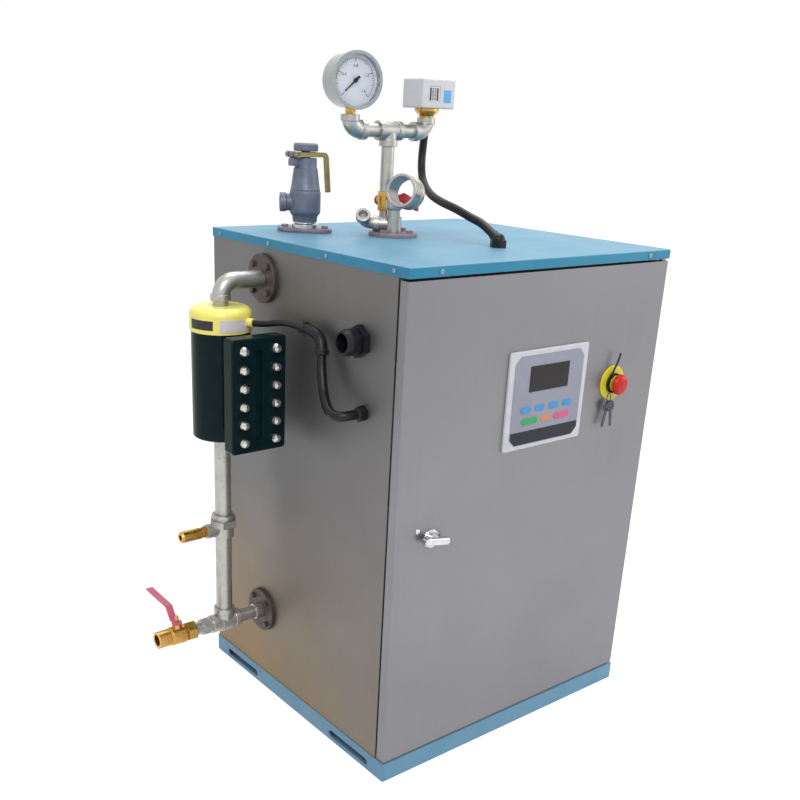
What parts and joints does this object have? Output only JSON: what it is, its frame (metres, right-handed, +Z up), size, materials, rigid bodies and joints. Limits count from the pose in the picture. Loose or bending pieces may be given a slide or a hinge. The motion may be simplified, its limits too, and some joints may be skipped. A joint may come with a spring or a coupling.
{
  "type": "industrial boiler",
  "caption": "Electric steam boiler: sheet-metal cabinet with control door, safety valve and gauge manifold on the lid, float level column and drain valve on the left side.",
  "frame": {"origin": "centre of the cabinet's footprint, on the floor", "axes": "+Z up, +X to the right seen from the front, the door faces -Y"},
  "size_m": [0.963, 0.669, 1.345],
  "materials": {
    "blue_base": "satin",
    "blue_lid": "satin",
    "stainless": "satin",
    "zinc_plate": "satin",
    "chrome": "polished",
    "bezel_grey": "matte",
    "panel_lilac": "matte",
    "display_green": "gloss",
    "key_blue": "matte",
    "stop_yellow": "gloss",
    "stop_red": "gloss",
    "black_plastic": "matte",
    "insulation": "matte",
    "heater_paint": "satin",
    "gear_plastic": "matte",
    "flange_steel": "rough",
    "bright_steel": "bright",
    "valve_grey": "rough",
    "galvanised": "satin",
    "brass": "satin",
    "lever_brass": "satin",
    "handle_red": "satin",
    "handle_pink": "satin",
    "gauge_case_grey": "satin",
    "dial_white": "matte",
    "needle_black": "matte",
    "clear_glass": "clear",
    "switch_white": "satin",
    "cable_black": "matte",
    "cap_yellow": "satin",
    "chamber_green": "gloss",
    "bolt_zinc": "bright"
  },
  "bodies": {
    "boiler": {"base_plinth": "blue_base", "left_side_panel": "stainless", "right_side_panel": "stainless", "back_panel": "stainless", "front_frame": "stainless", "lid": "blue_lid", "frame_hinges": "zinc_plate", "boiler_vessel": "insulation", "heater_head": "heater_paint", "mounting_plate": "zinc_plate", "switchgear": "gear_plastic", "safety_flange": "flange_steel", "safety_nipple": "bright_steel", "safety_valve_body": "valve_grey", "steam_flange": "flange_steel", "steam_cross": "galvanised", "street_elbow": "galvanised", "steam_outlet_tee": "galvanised", "gauge_valve_body": "brass", "riser_pipes": "galvanised", "top_tee": "galvanised", "crossbar_elbows": "galvanised", "gauge_stem": "brass", "gauge_case": "gauge_case_grey", "gauge_dial": "dial_white", "gauge_needle": "needle_black", "gauge_glass": "clear_glass", "switch_capsule": "brass", "switch_box": "switch_white", "switch_cable": "cable_black", "lid_grommet": "black_plastic", "side_flanges": "galvanised", "upper_level_elbow": "galvanised", "column_pipes": "galvanised", "float_cap": "cap_yellow", "level_chamber": "chamber_green", "level_cover": "chamber_green", "level_bolts": "bolt_zinc", "sample_tee": "galvanised", "sample_cock": "brass", "drain_tee": "galvanised", "drain_valve_body": "brass", "level_cable": "cable_black", "cable_gland": "black_plastic", "power_gland": "black_plastic"},
    "door": {"door_panel": "stainless", "door_hinges": "zinc_plate", "latch_body": "chrome", "panel_frame": "bezel_grey", "panel_face": "panel_lilac", "display_window": "display_green", "membrane_keys": "key_blue", "estop_collar": "stop_yellow", "controller_box": "black_plastic"},
    "latch": {"latch_knob": "chrome"},
    "stop": {"estop_button": "stop_red"},
    "safety_lever": {"safety_valve_lever": "lever_brass"},
    "safety_spindle": {"safety_valve_cap": "valve_grey"},
    "gauge_valve": {"gauge_valve_lever": "handle_red"},
    "drain": {"drain_lever": "handle_pink"}
  },
  "joints": [
    {"name": "door_hinge", "type": "hinge", "parent": "boiler", "child": "door", "pos_m": [0.34, -0.308, 0.5], "axis": [0, 0, 1], "range_deg": [0, 115]},
    {"name": "latch_turn", "type": "hinge", "parent": "door", "child": "latch", "pos_m": [-0.262, -0.318, 0.503], "axis": [0, -1, 0], "range_deg": [0, 90]},
    {"name": "stop_push", "type": "slide", "parent": "door", "child": "stop", "axis": [0, 1, 0], "range_m": [0, 0.005], "stiffness_N_per_m": 1500},
    {"name": "safety_lever_lift", "type": "hinge", "parent": "boiler", "child": "safety_lever", "pos_m": [-0.239, 0.185, 1.1515], "axis": [0, -1, 0], "range_deg": [0, 8], "stiffness_Nm_per_rad": 6},
    {"name": "safety_spindle_lift", "type": "slide", "parent": "boiler", "child": "safety_spindle", "axis": [0, 0, 1], "range_m": [0, 0.0064]},
    {"name": "gauge_valve_turn", "type": "hinge", "parent": "boiler", "child": "gauge_valve", "pos_m": [-0.061, 0.128, 1.066], "axis": [0, -1, 0], "range_deg": [0, 107]},
    {"name": "drain_valve_turn", "type": "hinge", "parent": "boiler", "child": "drain", "pos_m": [-0.562, 0.118, 0.22], "axis": [0, 0, 1], "range_deg": [0, 90]}
  ],
  "couplings": [
    {"joint": "safety_spindle_lift", "follows": "safety_lever_lift", "m_per_rad": 0.045}
  ]
}
